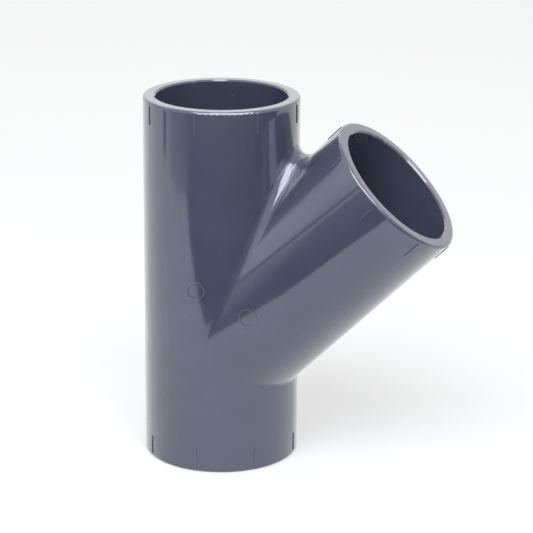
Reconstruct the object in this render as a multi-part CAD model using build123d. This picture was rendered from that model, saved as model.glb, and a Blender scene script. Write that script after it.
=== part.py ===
from build123d import *
from math import sqrt
import os

os.makedirs("parts", exist_ok=True)

# Lateral wye fitting for 50 mm pressure pipe, moulded in one piece from grey PVC-U: a straight
# run with a solvent-weld socket at each end, and a branch of the same size that leaves it at
# 45 degrees. Each socket ends inside at a shoulder, the pipe stop, and the three waterways
# meet behind the stops.
# Frame, in millimetres: the run stands along Z with the centre of its lower mouth at the
# origin, the branch leans toward +X, and both axes lie in the plane Y = 0.

# ---- sockets
PIPE_OD = 50.0           # the pipe that is cemented into each socket
CEMENT_GAP = 0.1         # radial room between pipe and socket, for the cement
SOCKET_DEPTH = 31.0      # mouth to pipe stop
SOCKET_WALL = 4.8
STOP_WIDTH = 2.8         # the shoulder that the end of the pipe comes up against
LEAD_IN = 0.6            # chamfer inside the mouth that starts the pipe

# ---- layout of the two axes
BRANCH_ANGLE = 45.0
LOWER_STOP = 12.8        # crossing of the axes to the lower pipe stop
UPPER_STOP = 67.2        # crossing to the upper stop, and to the branch's
BRANCH_EASE = 0.15       # the branch is this much smaller in radius than the run, outside and
                         # inside, so that their surfaces meet in one smooth loop

# ---- rounded edges
RIM_ROUND = 1.1          # outer edge of each mouth
CROTCH_ROUND = 4.0       # hollow between run and branch, on the narrow side
HEEL_ROUND = 2.0         # the same hollow on the wide side

# ---- raised moulded marks
MARK_RISE = 0.3
TICK_COUNT = 8           # alignment ticks round each mouth
TICK_WIDTH = 0.7
TICK_START = 1.6         # mouth to the near and far ends of each tick
TICK_END = 8.6
MARK_ROOT = 0.5          # depth that a mark starts below the surface, inside the wall
RING_OUTER = 7.5         # diameters of the plain ring on the front of the run and the branch
RING_INNER = 6.1
RING_STATION = 29.3      # crossing to the centre of each ring

# ---- values that follow from these
SOCKET_R = PIPE_OD / 2 + CEMENT_GAP
RUN_R = SOCKET_R + SOCKET_WALL
BRANCH_R = RUN_R - BRANCH_EASE
WATER_R = SOCKET_R - STOP_WIDTH
LOWER_REACH = LOWER_STOP + SOCKET_DEPTH
UPPER_REACH = UPPER_STOP + SOCKET_DEPTH

# Three planes at the crossing, each looking out of its own mouth along its Z.
UP = Plane(origin=(0, 0, LOWER_REACH), x_dir=(1, 0, 0), z_dir=(0, 0, 1))
DOWN = Plane(origin=UP.origin, x_dir=UP.x_dir, z_dir=-UP.z_dir)
OUT = UP.rotated((0, BRANCH_ANGLE, 0))

# Each mouth: its plane, crossing to mouth, outer radius.
MOUTHS = ((UP, UPPER_REACH, RUN_R), (DOWN, LOWER_REACH, RUN_R), (OUT, UPPER_REACH, BRANCH_R))
ON_START = (Align.CENTER, Align.CENTER, Align.MIN)


def rod(plane, radius, start, end):
    """A round bar along the plane's Z axis."""
    return plane.offset(start) * Cylinder(radius, end - start, align=ON_START)


def rim(solid, radius, plane, reach):
    """The outer edge of a mouth."""
    centre = plane.offset(reach).origin
    return solid.edges().filter_by(
        lambda e: e.geom_type == GeomType.CIRCLE
        and abs(e.radius - radius) < 0.01
        and (e.arc_center - centre).length < 0.01
    )


def wye(run_r, branch_r, down, out):
    """Run and branch in one solid, with a sharp meeting line."""
    return rod(UP, run_r, -down, out) + rod(OUT, branch_r, 0, out)


def rounded(solid, turn, narrow_round, wide_round):
    """The meeting line rounded by one radius on the narrow side and another on the wide side.
    The line turns from one side to the other low on the flanks, where the two surfaces run
    into each other almost flush, so the solid is rounded in two lifts that part there."""
    lifts = []
    for side, radius in ((Keep.TOP, narrow_round), (Keep.BOTTOM, wide_round)):
        lift = split(solid, bisect_by=UP.offset(turn), keep=side)
        lifts.append(lift.fillet(radius, lift.edges().filter_by(GeomType.BSPLINE)))
    return lifts[0] + lifts[1]


def ring(plane, radius):
    """A plain raised ring on the front (-Y) of a round body, wrapped to its surface."""
    centre = plane.offset(RING_STATION).origin
    front = Plane(origin=(centre.X, MARK_ROOT - radius, centre.Z), x_dir=(1, 0, 0), z_dir=(0, -1, 0))
    band = extrude(front * (Circle(RING_OUTER / 2) - Circle(RING_INNER / 2)), 2 * MARK_ROOT)
    return band & rod(plane, radius + MARK_RISE, RING_STATION - RING_OUTER, RING_STATION + RING_OUTER)


# ---- outside: the two round bodies, rounded where they meet and at the mouths
body = wye(RUN_R, BRANCH_R, LOWER_REACH, UPPER_REACH)
body = rounded(body, sqrt(RUN_R**2 - BRANCH_R**2), CROTCH_ROUND, HEEL_ROUND)
for plane, reach, radius in MOUTHS:
    body = body.fillet(RIM_ROUND, rim(body, radius, plane, reach))

# ---- raised marks: ticks that run in from each rounded rim, and two plain rings
tick = Box(
    MARK_ROOT + MARK_RISE, TICK_WIDTH, TICK_END - TICK_START, align=(Align.MIN, Align.CENTER, Align.MIN)
)
for plane, reach, radius in MOUTHS:
    body = body + plane.offset(reach - TICK_END) * PolarLocations(radius - MARK_ROOT, TICK_COUNT) * tick
body = body + ring(UP, RUN_R) + ring(OUT, BRANCH_R)

# ---- inside: waterways with a sharp meeting line, as two mould cores leave it, then the sockets
hollow = wye(WATER_R, WATER_R - BRANCH_EASE, LOWER_STOP, UPPER_STOP)
for plane, reach, _ in MOUTHS:
    lead = Cone(SOCKET_R, SOCKET_R + LEAD_IN, LEAD_IN, align=(Align.CENTER, Align.CENTER, Align.MAX))
    hollow = hollow + rod(plane, SOCKET_R, reach - SOCKET_DEPTH, reach) + plane.offset(reach) * lead
body = body - hollow

export_step(body, "parts/wye_body.step")
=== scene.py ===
# %% [markdown]
# # A grey plastic pipe wye in a small studio
# The object is a lateral wye: a straight length of moulded pipe with a socket at each end,
# and a branch of nearly the same width that leaves it at a slant. It is one piece of grey
# PVC-U, 14 cm tall. Its shape comes from the CAD model, which is loaded first and never
# changed. This lesson gives it its surface: the plastic, the faint marks that moulding and
# handling leave on it, and the light that shows them.

# %% Load the fitting
from math import cos, pi, radians, sin

import bpy
from mathutils import Matrix, Vector


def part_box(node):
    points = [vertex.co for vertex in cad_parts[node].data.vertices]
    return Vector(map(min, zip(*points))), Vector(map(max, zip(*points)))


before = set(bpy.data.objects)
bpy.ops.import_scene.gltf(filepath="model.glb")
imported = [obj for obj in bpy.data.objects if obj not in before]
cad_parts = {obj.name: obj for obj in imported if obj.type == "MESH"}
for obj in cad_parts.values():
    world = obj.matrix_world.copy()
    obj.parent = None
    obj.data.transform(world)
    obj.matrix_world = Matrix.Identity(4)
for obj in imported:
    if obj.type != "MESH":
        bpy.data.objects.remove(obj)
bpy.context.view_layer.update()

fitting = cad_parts["wye_body"]
low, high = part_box("wye_body")
print("fitting", fitting.name, "low corner", tuple(low), "high corner", tuple(high))

# %% [markdown]
# ## Shader maths as Python
# A Blender material is a graph of nodes. Long sums are hard to read as nodes, so one small
# class wraps an output socket and lets it be added, multiplied or compared like a number.
# Each operation adds one Math node. The reflected forms, such as __rsub__, are what makes
# 1 - mask work, because there the plain number comes first.

# %% A socket that does arithmetic
class Signal:
    """One number that varies over the surface, as an output socket of a node tree."""

    def __init__(self, tree, socket):
        self.tree, self.socket = tree, socket

    def math(self, operation, *values):
        """A Math node of this operation over the given signals and numbers."""
        node = self.tree.nodes.new("ShaderNodeMath")
        node.operation = operation
        for slot, value in zip(node.inputs, values):
            if isinstance(value, Signal):
                self.tree.links.new(value.socket, slot)
            else:
                slot.default_value = value
        return Signal(self.tree, node.outputs[0])

    def __add__(self, other): return self.math("ADD", self, other)
    def __radd__(self, other): return self.math("ADD", other, self)
    def __sub__(self, other): return self.math("SUBTRACT", self, other)
    def __rsub__(self, other): return self.math("SUBTRACT", other, self)
    def __mul__(self, other): return self.math("MULTIPLY", self, other)
    def __rmul__(self, other): return self.math("MULTIPLY", other, self)
    def __abs__(self): return self.math("ABSOLUTE", self)
    def lesser(self, other): return self.math("MINIMUM", self, other)
    def root(self): return self.math("SQRT", self)

    def ramp(self, start, end):
        """0 at start, 1 at end, eased between them and flat beyond; start may be the larger."""
        node = self.tree.nodes.new("ShaderNodeMapRange")
        node.interpolation_type = "SMOOTHSTEP"
        self.tree.links.new(self.socket, node.inputs["Value"])
        node.inputs["From Min"].default_value = min(start, end)
        node.inputs["From Max"].default_value = max(start, end)
        rising = Signal(self.tree, node.outputs["Result"])
        return rising if start < end else 1 - rising


print("a Signal knows", [name for name in vars(Signal) if name.isalpha()])

# %% [markdown]
# ## One way to add any other node
# Every other node comes from one method. It takes the node's type, its settings, which have
# to be set before its sockets are used, and the values or links of its sockets. A socket's
# name is written as a keyword, with underscores for its spaces.

# %% A material's recipe
class Recipe:
    """A node tree, with the few helpers that the finishes below share."""

    def __init__(self, owner):
        owner.use_nodes = True
        self.owner, self.tree = owner, owner.node_tree
        self.tree.nodes.clear()

    def node(self, kind, settings=None, **sockets):
        made = self.tree.nodes.new(kind)
        for name, value in (settings or {}).items():
            setattr(made, name, value)
        for name, value in sockets.items():
            label = name.replace("_", " ")
            slot = next(s for s in made.inputs if s.name == label and s.enabled)
            if isinstance(value, Signal):
                self.tree.links.new(value.socket, slot)
            elif isinstance(value, bpy.types.NodeSocket):
                self.tree.links.new(value, slot)
            else:
                slot.default_value = value
        return made

    def signal(self, node, name):
        """A number that the node gives, ready for arithmetic."""
        return Signal(self.tree, node.outputs[name])

    def noise(self, where, scale, detail=2.0, roughness=0.5):
        """A cloudy pattern about 0.5, with features about 1/scale metres wide."""
        made = self.node(
            "ShaderNodeTexNoise", Vector=where, Scale=scale, Detail=detail, Roughness=roughness
        )
        return self.signal(made, "Fac")

    def glow(self, colour, strength=1.0):
        """Make the whole tree an even light of this colour."""
        shine = self.node("ShaderNodeEmission", Color=colour, Strength=strength)
        self.node("ShaderNodeOutputMaterial", Surface=shine.outputs["Emission"])

    def mix(self, mask, first, second):
        """The first colour where the mask is 0, the second where it is 1."""
        made = self.node("ShaderNodeMix", {"data_type": "RGBA"}, Factor=mask, A=first, B=second)
        return next(s for s in made.outputs if s.enabled)


def grey(level):
    """A neutral colour of this brightness, where 1 is white."""
    return (level, level, level, 1)


WHITE = grey(1.0)
print("shader helpers ready")

# %% [markdown]
# ## Where the axes run
# The marks of moulding follow the two axes of the fitting: the mould parts along the plane
# that holds both of them, and the cores that leave the bores are drawn out along them. So
# the material starts from the distance to each axis. Object coordinates are in metres and
# stay with the part, which is why they are used and not the ones of the view.

# %% Distances from the two axes
pvc = Recipe(bpy.data.materials.new("grey_pvc"))
place = pvc.node("ShaderNodeTexCoord").outputs["Object"]
parts = pvc.node("ShaderNodeSeparateXYZ", Vector=place)
x, y, z = (pvc.signal(parts, name) for name in "XYZ")

RUN_RADIUS = 0.0299         # outside of the straight pipe, without its marks
THINNER = 0.00015           # by how much the branch is slimmer in radius
RUN_HEIGHT = high.z         # from foot to mouth
CROSSING = 0.0438           # height at which the two axes meet
BRANCH_REACH = 0.0982       # from the crossing to the branch's mouth
SLANT = 0.5**0.5            # sine and cosine of 45 degrees

run_distance = (x * x + y * y).root()
along_branch = (x + z - CROSSING) * SLANT
across_branch = (x - z + CROSSING) * SLANT
branch_distance = (across_branch * across_branch + y * y).root()
print("run radius", RUN_RADIUS, "height", round(RUN_HEIGHT, 5), "crossing", CROSSING)

# %% [markdown]
# ## Masks
# Four masks are enough to say where on the fitting a point is. On the branch, the branch's
# axis is the nearer one. Inside, an axis is nearer than the middle of the wall. On a lip,
# the distance along the axis to the cut end is small. Raised marks, the ticks and the rings,
# stand a little proud of the pipe. The rounded seam between the pipes does so too, so it is
# kept out: there, the two axes are about equally far.

# %% Where on the fitting
CHANGE = -0.0006, 0.0006    # difference of the distances, from run to branch
WALL = 0.0268, 0.0256       # distance to the axis, from outside to inside
LIP = 0.0022, 0.0004        # distance to the cut end, from the side to the lip
SEAM = 0.002, 0.004         # difference of the distances, from the seam to beyond it
MARK = 0.00004, 0.00016     # height over the pipe, from its skin to the top of a mark
FAR = 1.0                   # longer than the fitting, so it rules an end out

nearer_to_branch = run_distance - branch_distance
on_branch = nearer_to_branch.ramp(*CHANGE)
to_axis = run_distance.lesser(branch_distance)
inside = to_axis.ramp(*WALL)

to_run_end = z.lesser(RUN_HEIGHT - z) + on_branch * FAR
to_branch_end = BRANCH_REACH - along_branch + (1 - on_branch) * FAR
lip = to_run_end.lesser(to_branch_end).ramp(*LIP)

over_pipe = to_axis - RUN_RADIUS + THINNER * on_branch
raised = abs(nearer_to_branch).ramp(*SEAM) * over_pipe.ramp(*MARK)
print("masks: on_branch, inside, lip, raised")

# %% [markdown]
# ## The colour of the plastic
# Grey PVC-U is coloured all through with fine carbon black and titanium white, so it is a
# dark blue grey. It isn't one flat value, because the melt flows together in slightly paler
# and darker clouds, with a fine grain of pigment in them. Colours are mixed with a Mix node,
# because maths turns them grey.

# %% Colour
DEEP_GREY = (0.047, 0.052, 0.084, 1)
PALE_GREY = (0.057, 0.063, 0.098, 1)
clouds = pvc.noise(place, scale=34.0, detail=3.0, roughness=0.6)
grain = pvc.noise(place, scale=1900.0, detail=1.0)
clouded = (0.75 * clouds + 0.25 * grain).ramp(0.32, 0.68)
body_colour = pvc.mix(clouded, DEEP_GREY, PALE_GREY)
print("deep grey", DEEP_GREY, "pale grey", PALE_GREY)

# %% [markdown]
# ## Specks
# A moulded face is never quite clean: here and there a pinhead of paler resin or dust sits
# in the skin. A Voronoi pattern cuts space into cells with one point each. A speck is drawn
# near the point of the few cells whose random colour is high, so the specks are rare and lie
# at uneven distances.

# %% Specks
# a paler grey for the specks, the worn lips and, as painted light, the marks
SPECK_WEAR_AND_PAINTED_LIGHT_GREY = (0.125, 0.134, 0.185, 1)
SPECK_CELLS = 260.0         # in a metre
LOT = 0.975, 0.98           # a cell's random number, from no speck to a full one
SPECK_EDGE = 0.17, 0.06     # distance to the cell's point, in cells
cells = pvc.node("ShaderNodeTexVoronoi", Vector=place, Scale=SPECK_CELLS)
cell_colour = pvc.node("ShaderNodeSeparateColor", Color=cells.outputs["Color"])
from_point = pvc.signal(cells, "Distance")
lots = pvc.signal(cell_colour, "Red")
specks = from_point.ramp(*SPECK_EDGE) * lots.ramp(*LOT)
speckled = pvc.mix(specks * 0.8, body_colour, SPECK_WEAR_AND_PAINTED_LIGHT_GREY)
print("cells", SPECK_CELLS, "a metre, one in forty with a speck")

# %% [markdown]
# ## Rubbed lips, and marks made paler with painted light
# What stands out is touched first. The lips of the mouths are rubbed pale in patches, so a noise
# breaks their mask up. The ticks and rings are made paler evenly and less, because they are so
# narrow. This is partly wear and partly painted light, which keeps them readable where their
# thin sides lie in a dark reflection.

# %% Rubbing, and painted light on the marks
rubbed = lip * pvc.noise(place, scale=420.0, detail=3.0, roughness=0.65).ramp(0.5, 0.75)
# the quarter of paler grey on the ticks and rings is painted light against their dark reflection
colour = pvc.mix(rubbed * 0.35 + raised * 0.25, speckled, SPECK_WEAR_AND_PAINTED_LIGHT_GREY)
print("rubbed grey", SPECK_WEAR_AND_PAINTED_LIGHT_GREY, "over the lips by a third, over the marks by a quarter")

# %% [markdown]
# ## Fine lines along each pipe
# The steel of the mould was polished lengthwise, and the cores slid out of the sockets, so
# the skin keeps very fine lines that run along each axis. Noise does this when space is
# squeezed along the axis: the features come out long and thin. There is one such pattern for
# the run and one for the branch, whose coordinates are turned by the slant first.

# %% Lines
SQUEEZE = (1, 1, 0.035)     # leaves lines about thirty times as long as wide


def lines(turn):
    """Long thin features along local Z, after turning space about Y."""
    turned = pvc.node(
        "ShaderNodeVectorRotate", {"rotation_type": "Y_AXIS"}, Vector=place, Angle=turn
    )
    squeezed = pvc.node(
        "ShaderNodeVectorMath", {"operation": "MULTIPLY"}, Vector=turned.outputs["Vector"]
    )
    squeezed.inputs[1].default_value = SQUEEZE
    return pvc.noise(squeezed.outputs["Vector"], scale=700.0)


run_lines = lines(0)
branch_lines = lines(-pi / 4)
draw_lines = run_lines + on_branch * (branch_lines - run_lines)
print("lines along the run and, turned by 45 degrees, along the branch")

# %% [markdown]
# ## Gloss
# The outside took the polish of the mould and shines softly. Handling leaves it a little
# uneven, the lips are duller where they were rubbed, and the insides of the sockets are
# slightly less polished, so that cement can key to them. All of this is roughness.

# %% Gloss
POLISHED = 0.085            # roughness of skin that nothing has touched
smears = pvc.noise(place, scale=75.0, detail=4.0, roughness=0.6)
fine_smears = pvc.noise(place, scale=520.0)
handled = POLISHED + 0.07 * smears + 0.03 * fine_smears + 0.05 * draw_lines.ramp(0.55, 0.75)
gloss = handled + 0.10 * inside + 0.12 * rubbed + 0.2 * specks + 0.15 * raised
print("roughness from", POLISHED, "up, and 0.1 to 0.2 more on lips, marks and specks")

# %% [markdown]
# ## The relief of the skin
# The relief is added up in metres, so that every height can be thought of as a real one, and
# one Bump node turns it into a normal. It has the orange peel of a moulded skin, a slower
# wave where thick plastic shrank, the drawn lines, the specks, and the parting line: a hair
# of plastic where the two halves of the mould met, in the plane of the two axes.

# %% Skin
PEEL_HEIGHT, WAVE_HEIGHT, LINE_HEIGHT = 4.0e-7, 1.6e-5, 9.0e-7
SPECK_HEIGHT, PARTING_HEIGHT, RUB_HEIGHT = 2.0e-5, 3.0e-5, 6.0e-6
PARTING_EDGE = 0.00028, 0.00008     # distance to the plane of the axes
orange_peel = pvc.noise(place, scale=620.0)
shrink_wave = pvc.noise(place, scale=48.0, detail=1.0)
parting = abs(y).ramp(*PARTING_EDGE) * (1 - inside)
relief = (
    PEEL_HEIGHT * orange_peel
    + WAVE_HEIGHT * shrink_wave
    + LINE_HEIGHT * draw_lines
    + SPECK_HEIGHT * specks
    + PARTING_HEIGHT * parting
    + RUB_HEIGHT * rubbed
)
skin = pvc.node("ShaderNodeBump", Strength=1.0, Distance=1.0, Height=relief)
print("tallest mark of the skin: the parting line,", round(1000 * PARTING_HEIGHT, 3), "mm")

# %% [markdown]
# ## The shader
# Everything that varies feeds the shader's colour, roughness and normal. What is the same
# all over is set on the shader itself. A thin clear coat stands for the resin-rich skin that
# forms against the cold steel: it lies over the pigmented plastic and gives the second,
# sharper reflection that makes moulded PVC look wet next to machined PVC. The pigment tints
# what the plastic under it mirrors, so that reflection is set a little blue.

# %% Put the plastic on the fitting
shader = pvc.node(
    "ShaderNodeBsdfPrincipled",
    Base_Color=colour,
    Roughness=gloss,
    Normal=skin.outputs["Normal"],
    IOR=1.53,
    Specular_Tint=(0.78, 0.82, 1.0, 1),
    Coat_Weight=1.0,
    Coat_Roughness=0.07,
    Coat_IOR=1.56,
)
pvc.node("ShaderNodeOutputMaterial", Surface=shader.outputs["BSDF"])
fitting.data.materials.clear()
fitting.data.materials.append(pvc.owner)
print("material", pvc.owner.name, "with", len(pvc.tree.nodes), "nodes")

# %% [markdown]
# ## What the camera and the gloss see as white
# The background is white because the floor and the world are white to the camera, and to
# rays that come off something glossy or through something clear, so that the plastic mirrors
# the same surroundings. The Light Path node tells those rays apart from the ones that only
# carry soft light around the scene.

# %% Seen rays
def seen(recipe):
    """1 for rays of the camera, of a reflection or through glass, 0 for soft light."""
    path = recipe.node("ShaderNodeLightPath")
    names = ("Is Camera Ray", "Is Glossy Ray", "Is Transmission Ray")
    camera_ray, glossy_ray, clear_ray = (recipe.signal(path, name) for name in names)
    return (camera_ray + glossy_ray + clear_ray).lesser(1.0)


print("seen rays: camera, glossy, transmission")

# %% [markdown]
# ## Boards
# The floor, the flags and the cards of the studio are flat boards. Dark and bright boards
# stand just out of view, because a round glossy thing shows its shape only where bright and
# dark meet in its reflection. Places are given from the fitting, either as an
# angle, a distance and a height, with 0 degrees toward the camera and positive to its right,
# or as metres ahead and to the right, so every board is placed the way one would say it.
# Flags and cards are hidden from everything but reflections, so they shape the gloss and
# leave the soft light and the background as they are.

# %% Boards
TOWARD_CAMERA = Vector((0.3105, -0.9505, 0)).normalized()
TO_THE_RIGHT = Vector((0.9505, 0.3105, 0)).normalized()


def spot(turn, distance, height):
    """The point at this angle in degrees, distance and height in metres."""
    level = TOWARD_CAMERA * cos(radians(turn)) + TO_THE_RIGHT * sin(radians(turn))
    return level * distance + Vector((0, 0, height))


def ahead(forward, right):
    """The point on the floor this far toward the camera and to the right, in metres."""
    return TOWARD_CAMERA * forward + TO_THE_RIGHT * right


def board(name, corners, paint):
    """A flat board of four corners that stands in the studio."""
    mesh = bpy.data.meshes.new(name)
    mesh.from_pydata([tuple(c) for c in corners], [], [(0, 1, 2, 3)])
    mesh.materials.append(paint)
    made = bpy.data.objects.new(name, mesh)
    bpy.context.scene.collection.objects.link(made)
    return made


def for_reflections(made):
    """Hide a board from everything but reflections."""
    for ray in ("camera", "diffuse", "transmission", "volume_scatter", "shadow"):
        setattr(made, "visible_" + ray, False)


print("0 degrees points along", tuple(round(v, 3) for v in TOWARD_CAMERA))

# %% [markdown]
# ## Floor
# The fitting stands on a wide pale floor that fills the view, so no horizon shows. The floor
# is a matt board that keeps the soft shadow. A share of plain white is mixed in for seen
# rays, which lifts the floor to white and leaves the shadow lighter, as on a lit sweep.

# %% Floor
WHITE_SHARE = 0.50          # of plain white, for seen rays
HALF_FLOOR = 6.0
sweep = Recipe(bpy.data.materials.new("sweep"))
matt = sweep.node("ShaderNodeBsdfDiffuse", Color=grey(0.90))
glow = sweep.node("ShaderNodeEmission", Color=WHITE, Strength=1.0)
pale = sweep.node("ShaderNodeMixShader", Fac=WHITE_SHARE * seen(sweep))
sweep.tree.links.new(matt.outputs["BSDF"], pale.inputs[1])
sweep.tree.links.new(glow.outputs["Emission"], pale.inputs[2])
sweep.node("ShaderNodeOutputMaterial", Surface=pale.outputs["Shader"])
corners = ((-1, -1), (1, -1), (1, 1), (-1, 1))
board("floor", [(a * HALF_FLOOR, b * HALF_FLOOR, 0) for a, b in corners], sweep.owner)
print("floor", 2 * HALF_FLOOR, "m square")

# %% [markdown]
# ## The cloth of the flags
# The flags could be plain black, but then every reflection of them would end in a hard edge.
# So their cloth fades: upward, because light from above creeps over it, and toward the left,
# where the far end of the row melts into the white of the room. The brightness is set as
# emission, so that a flag looks the same wherever it stands, and only reflections see it.

# %% Flag cloth
NEAR_BLACK, MID_GREY = grey(0.015), grey(0.27)
UPWARD = 0.02, 0.15         # metres above the floor, from near black to mid grey
LEFTWARD = -0.16, -0.62     # metres to the right, from cloth to white
cloth = Recipe(bpy.data.materials.new("flag_cloth"))
cloth_place = cloth.node("ShaderNodeTexCoord").outputs["Object"]
cloth_parts = cloth.node("ShaderNodeSeparateXYZ", Vector=cloth_place)
height = cloth.signal(cloth_parts, "Z")
to_right = (
    TO_THE_RIGHT.x * cloth.signal(cloth_parts, "X")
    + TO_THE_RIGHT.y * cloth.signal(cloth_parts, "Y")
)
fading_up = cloth.mix(height.ramp(*UPWARD), NEAR_BLACK, MID_GREY)
cloth.glow(cloth.mix(to_right.ramp(*LEFTWARD), fading_up, WHITE))
print("cloth fades between heights", UPWARD, "and toward the left between", LEFTWARD)

# %% [markdown]
# ## Flags
# A low row of flags stands round the front, from the right to the left. It cuts the far
# floor out of the reflection, so the middle of the upright pipe goes dark, while its foot,
# which mirrors the floor in front of the row, stays light. The line on which the row stands
# is what draws the tapering edge of the dark zone, so its corners were set one by one.

# %% Flags
def flag(name, left, right, height):
    """A dark board on edge that only reflections see, between two spots on the floor."""
    lift = Vector((0, 0, height))
    for_reflections(board(name, (left, right, right + lift, left + lift), cloth.owner))
    print("flag", name, "width", round((right - left).length, 3), "height", height)


# the feet of the row, metres ahead and to the right, from the right round to the left
ROW = (
    (0.03, 0.36),
    (0.20, 0.24),
    (0.212, 0.03),
    (0.19, -0.07),
    (0.215, -0.15),
    (0.24, -0.24),
    (0.27, -0.32),
    (0.09, -0.46),
)
FLAG_HEIGHT = 0.135
feet = [ahead(*corner) for corner in ROW]
for number, (right, left) in enumerate(zip(feet, feet[1:])):
    flag("flag_" + str(number), left, right, FLAG_HEIGHT)

# %% [markdown]
# ## Cards
# White cards beside and above the key lamp glow by themselves, about as bright as it, and so
# paint highlights: they lengthen the thin bright line that runs along every rounded edge. They
# are high up, where only roundings mirror them, and reflections alone see them, so they add
# nothing to the soft light. Two narrow dark cards do the opposite: they draw a thin dark line
# down the branch and one beside the run's mouth.

# %% Cards
def card(name, corners, brightness):
    """A board of even brightness that only reflections see."""
    paint = Recipe(bpy.data.materials.new(name + "_white"))
    paint.glow(WHITE, brightness)
    for_reflections(board(name, corners, paint.owner))
    print("card", name, "brightness", brightness)


def between(left, right, lower, upper):
    """Corners between two angles, each edge given by its distance and height."""
    return spot(left, *lower), spot(right, *lower), spot(right, *upper), spot(left, *upper)


# the two white cards glow on their own and paint highlights, seen only in reflections
card("right_card", between(22, 62, (0.95, 0.62), (0.62, 1.05)), brightness=8.0)
card("upper_card", between(-22, 40, (0.62, 1.25), (0.10, 1.25)), brightness=7.0)
card("dark_line", between(-85, -45, (1.2, 0.23), (1.2, 0.275)), brightness=0.10)
card("side_line", between(-90, -84, (0.50, 0.0), (0.50, 0.05)), brightness=0.15)

# %% [markdown]
# ## Lamps
# A wide soft box above the camera is the key light. It draws the thin bright lines on the
# rims and in the crotch and casts the soft shadow. A weak one on the left brightens that
# side, and one behind lights the flat tops of the rims. One high behind shines down on the
# floor there and makes it a little paler. It also adds about a hundredth to the light on the
# front of the fitting and a tenth to that on its back. A lamp's power is worked out from the
# brightness that it should have in a reflection, where 1 is white, because that is what is
# seen.

# %% Lamps
MIDDLE = Vector((0.02, 0, 0.08))
COOL = (0.94, 0.96, 1.0)    # the lamps are a little bluer than the room


def soft_box(name, stand, width, height, brightness, aim=MIDDLE):
    """A rectangular lamp of this even brightness, turned toward its aim."""
    lamp = bpy.data.lights.new(name, "AREA")
    lamp.shape = "RECTANGLE"
    lamp.size, lamp.size_y = width, height
    lamp.energy = brightness * pi * width * height
    lamp.color = COOL
    made = bpy.data.objects.new(name, lamp)
    made.location = stand
    made.rotation_euler = (aim - stand).to_track_quat("-Z", "Y").to_euler()
    bpy.context.scene.collection.objects.link(made)
    print("soft box", name, "power", round(lamp.energy, 2), "W")


soft_box("key_box", spot(-8, 0.70, 1.00), width=1.10, height=0.60, brightness=6.5)
soft_box("left_box", spot(-78, 1.00, 0.36), width=0.42, height=0.50, brightness=0.25)
soft_box("back_box", spot(180, 1.40, 0.75), width=1.20, height=0.60, brightness=0.15)
BEHIND = spot(180, 1.20, 0)
soft_box("sweep_box", spot(180, 1.20, 1.30), width=1.60, height=0.90, brightness=0.8, aim=BEHIND)

# %% [markdown]
# ## World
# The world is the rest of the room. Seen rays find it white. Soft light from it is weaker,
# so that the lamps can model the shape. With the lamps it comes near a plain level: a matt
# colour renders about a third brighter than it is written on the side toward the camera,
# and about a fifth darker on the back.

# %% World
SOFT_LEVEL = 0.60
room = Recipe(bpy.data.worlds.new("room"))
bpy.context.scene.world = room.owner
level = SOFT_LEVEL + (1.0 - SOFT_LEVEL) * seen(room)
air = room.node("ShaderNodeBackground", Color=WHITE, Strength=level)
room.node("ShaderNodeOutputWorld", Surface=air.outputs["Background"])
print("world white to seen rays,", SOFT_LEVEL, "to soft light")

# %% [markdown]
# ## Camera
# A long lens from a little above, as for a catalogue picture: the upright edges stay almost
# parallel and both open mouths can be looked into. The camera is placed by a point and an
# aim, and leans by less than half a degree.

# %% Camera
CAMERA_STAND = Vector((0.26207, -0.75138, 0.32568))
CAMERA_AIM = Vector((0.018321, -0.00004, 0.075746))
LEAN = 0.42                 # degrees
lens = bpy.data.cameras.new("camera")
lens.lens, lens.sensor_width = 145.65, 36
camera = bpy.data.objects.new("camera", lens)
camera.matrix_world = (
    Matrix.Translation(CAMERA_STAND)
    @ (CAMERA_AIM - CAMERA_STAND).to_track_quat("-Z", "Y").to_matrix().to_4x4()
    @ Matrix.Rotation(radians(LEAN), 4, "Z")
)
bpy.context.scene.collection.objects.link(camera)
bpy.context.scene.camera = camera
bpy.context.scene.view_settings.view_transform = "Standard"
print("camera", tuple(round(v, 4) for v in CAMERA_STAND), "lens", round(lens.lens, 2), "mm")

# %% [markdown]
# ## Sizes and finish
# The material changes no size. The box of the model is printed once, when it is loaded.
